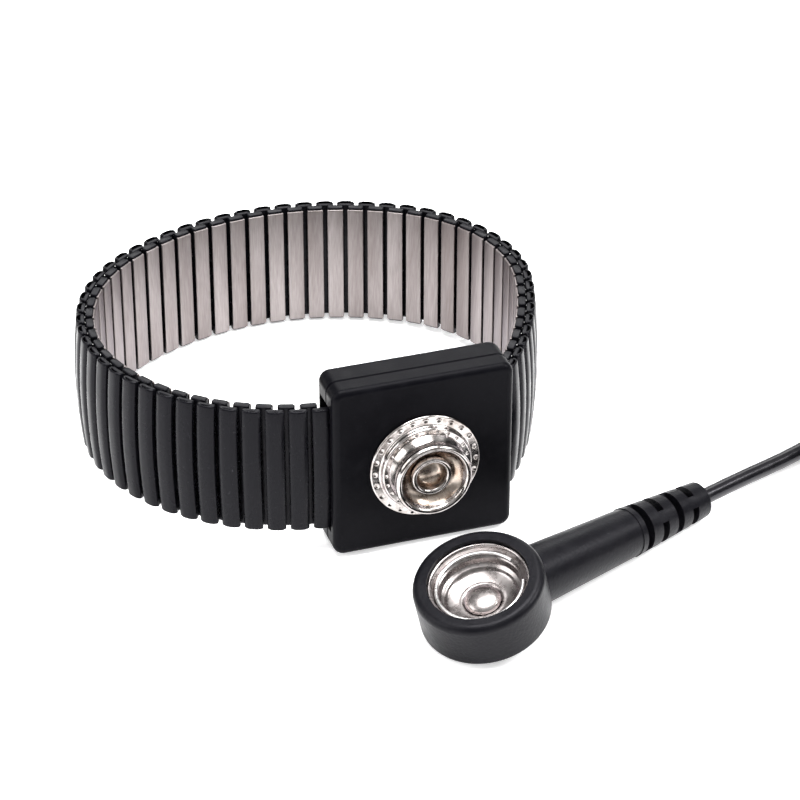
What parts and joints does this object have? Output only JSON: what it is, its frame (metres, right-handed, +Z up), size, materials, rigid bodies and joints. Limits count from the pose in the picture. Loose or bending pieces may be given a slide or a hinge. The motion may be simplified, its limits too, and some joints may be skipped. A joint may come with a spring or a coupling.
{
  "type": "esd wrist strap",
  "caption": "Expansion-band wrist strap with a snap housing and a detached ground lead: a snap plug with strain relief, a thin cord wound in a coil, and a banana plug.",
  "frame": {"origin": "middle of the strap's box (band and housing, without the lead) at the surface that it stands on", "axes": "+Z up across the band, -Y out of the housing's face towards the snap plug, +X to the right of someone facing the snap stud"},
  "size_m": [0.1472, 0.1188, 0.0252],
  "materials": {
    "black_lacquer": "gloss black lacquer on pressed steel",
    "brushed_links": "fine brushed stainless steel on the wrist side, black on the sides",
    "spring_steel": "bright spring steel wire and strip",
    "housing_plastic": "satin moulded ABS, black",
    "nickel": "bright nickel plate",
    "tin_plate": "tin-plated brass, dull",
    "boot_rubber": "soft moulded PVC, black, finely mottled",
    "cord_jacket": "smooth PU cord jacket, black",
    "resistor_body": "lacquered carbon film resistor",
    "tie_plastic": "soft black plastic tie"
  },
  "bodies": {
    "strap_housing": {"front_cover": "housing_plastic", "back_shell": "housing_plastic", "band_pins": "spring_steel", "band_tab_left": "spring_steel", "band_tab_right": "spring_steel", "contact_plate": "tin_plate", "stud_flange": "nickel", "snap_stud": "nickel", "stud_eyelet": "nickel"},
    "left_segment_1": {"left_1_outer_links": "black_lacquer", "left_1_inner_links": "brushed_links", "left_1_staples_and_springs": "spring_steel"},
    "left_segment_2": {"left_2_outer_links": "black_lacquer", "left_2_inner_links": "brushed_links", "left_2_staples_and_springs": "spring_steel"},
    "left_segment_3": {"left_3_outer_links": "black_lacquer", "left_3_inner_links": "brushed_links", "left_3_staples_and_springs": "spring_steel"},
    "left_segment_4": {"left_4_outer_links": "black_lacquer", "left_4_inner_links": "brushed_links", "left_4_staples_and_springs": "spring_steel"},
    "left_segment_5": {"left_5_outer_links": "black_lacquer", "left_5_inner_links": "brushed_links", "left_5_staples_and_springs": "spring_steel"},
    "left_segment_6": {"left_6_outer_links": "black_lacquer", "left_6_inner_links": "brushed_links", "left_6_staples_and_springs": "spring_steel"},
    "right_segment_1": {"right_1_outer_links": "black_lacquer", "right_1_inner_links": "brushed_links", "right_1_staples_and_springs": "spring_steel"},
    "right_segment_2": {"right_2_outer_links": "black_lacquer", "right_2_inner_links": "brushed_links", "right_2_staples_and_springs": "spring_steel"},
    "right_segment_3": {"right_3_outer_links": "black_lacquer", "right_3_inner_links": "brushed_links", "right_3_staples_and_springs": "spring_steel"},
    "right_segment_4": {"right_4_outer_links": "black_lacquer", "right_4_inner_links": "brushed_links", "right_4_staples_and_springs": "spring_steel"},
    "right_segment_5": {"right_5_outer_links": "black_lacquer", "right_5_inner_links": "brushed_links", "right_5_staples_and_springs": "spring_steel"},
    "right_segment_6": {"right_6_outer_links": "black_lacquer", "right_6_inner_links": "brushed_links", "right_6_staples_and_springs": "spring_steel"},
    "ground_lead": {"plug_boot": "boot_rubber", "socket_cup": "nickel", "socket_spring": "spring_steel", "contact_rivet": "nickel", "resistor": "resistor_body", "resistor_leads": "tin_plate", "crimp_ferrule": "tin_plate", "crimped_lead": "cord_jacket", "cord": "cord_jacket", "cord_coil": "cord_jacket", "cord_tail": "cord_jacket", "coil_tie": "tie_plastic", "banana_handle": "boot_rubber", "banana_pin": "nickel", "banana_cage": "spring_steel"}
  },
  "joints": [
    {"name": "left_stretch_1", "type": "slide", "parent": "strap_housing", "child": "left_segment_1", "axis": [-0.934, 0.3571, 0], "range_m": [0, 0.00706], "stiffness_N_per_m": 400},
    {"name": "left_stretch_2", "type": "slide", "parent": "left_segment_1", "child": "left_segment_2", "axis": [-0.6853, 0.7283, 0], "range_m": [0, 0.00576], "stiffness_N_per_m": 400},
    {"name": "left_stretch_3", "type": "slide", "parent": "left_segment_2", "child": "left_segment_3", "axis": [-0.2645, 0.9644, 0], "range_m": [0, 0.00616], "stiffness_N_per_m": 400},
    {"name": "left_stretch_4", "type": "slide", "parent": "left_segment_3", "child": "left_segment_4", "axis": [0.2593, 0.9658, 0], "range_m": [0, 0.00406], "stiffness_N_per_m": 400},
    {"name": "left_stretch_5", "type": "slide", "parent": "left_segment_4", "child": "left_segment_5", "axis": [0.708, 0.7062, 0], "range_m": [0, 0.00418], "stiffness_N_per_m": 400},
    {"name": "left_stretch_6", "type": "slide", "parent": "left_segment_5", "child": "left_segment_6", "axis": [0.9379, 0.3469, 0], "range_m": [0, 0.00306], "stiffness_N_per_m": 400},
    {"name": "right_stretch_1", "type": "slide", "parent": "strap_housing", "child": "right_segment_1", "axis": [0.5121, 0.859, 0], "range_m": [0, 0.00662], "stiffness_N_per_m": 400},
    {"name": "right_stretch_2", "type": "slide", "parent": "right_segment_1", "child": "right_segment_2", "axis": [0.3008, 0.9537, 0], "range_m": [0, 0.00553], "stiffness_N_per_m": 400},
    {"name": "right_stretch_3", "type": "slide", "parent": "right_segment_2", "child": "right_segment_3", "axis": [-0.1662, 0.9861, 0], "range_m": [0, 0.00579], "stiffness_N_per_m": 400},
    {"name": "right_stretch_4", "type": "slide", "parent": "right_segment_3", "child": "right_segment_4", "axis": [-0.6946, 0.7194, 0], "range_m": [0, 0.00371], "stiffness_N_per_m": 400},
    {"name": "right_stretch_5", "type": "slide", "parent": "right_segment_4", "child": "right_segment_5", "axis": [-0.9428, 0.3335, 0], "range_m": [0, 0.00401], "stiffness_N_per_m": 400},
    {"name": "right_stretch_6", "type": "slide", "parent": "right_segment_5", "child": "right_segment_6", "axis": [-0.9996, -0.028, 0], "range_m": [0, 0.00303], "stiffness_N_per_m": 400},
    {"name": "lead_place", "type": "slide", "parent": "strap_housing", "child": "ground_lead", "axis": [0, -1, 0], "range_m": [0, 0.04]}
  ],
  "couplings": [
    {"joint": "left_stretch_2", "follows": "left_stretch_1", "ratio": 0.81609},
    {"joint": "left_stretch_3", "follows": "left_stretch_1", "ratio": 0.8727},
    {"joint": "left_stretch_4", "follows": "left_stretch_1", "ratio": 0.57457},
    {"joint": "left_stretch_5", "follows": "left_stretch_1", "ratio": 0.59191},
    {"joint": "left_stretch_6", "follows": "left_stretch_1", "ratio": 0.43313},
    {"joint": "right_stretch_1", "follows": "left_stretch_1", "ratio": 0.93719},
    {"joint": "right_stretch_2", "follows": "left_stretch_1", "ratio": 0.78377},
    {"joint": "right_stretch_3", "follows": "left_stretch_1", "ratio": 0.82},
    {"joint": "right_stretch_4", "follows": "left_stretch_1", "ratio": 0.52515},
    {"joint": "right_stretch_5", "follows": "left_stretch_1", "ratio": 0.56806},
    {"joint": "right_stretch_6", "follows": "left_stretch_1", "ratio": 0.42897}
  ]
}
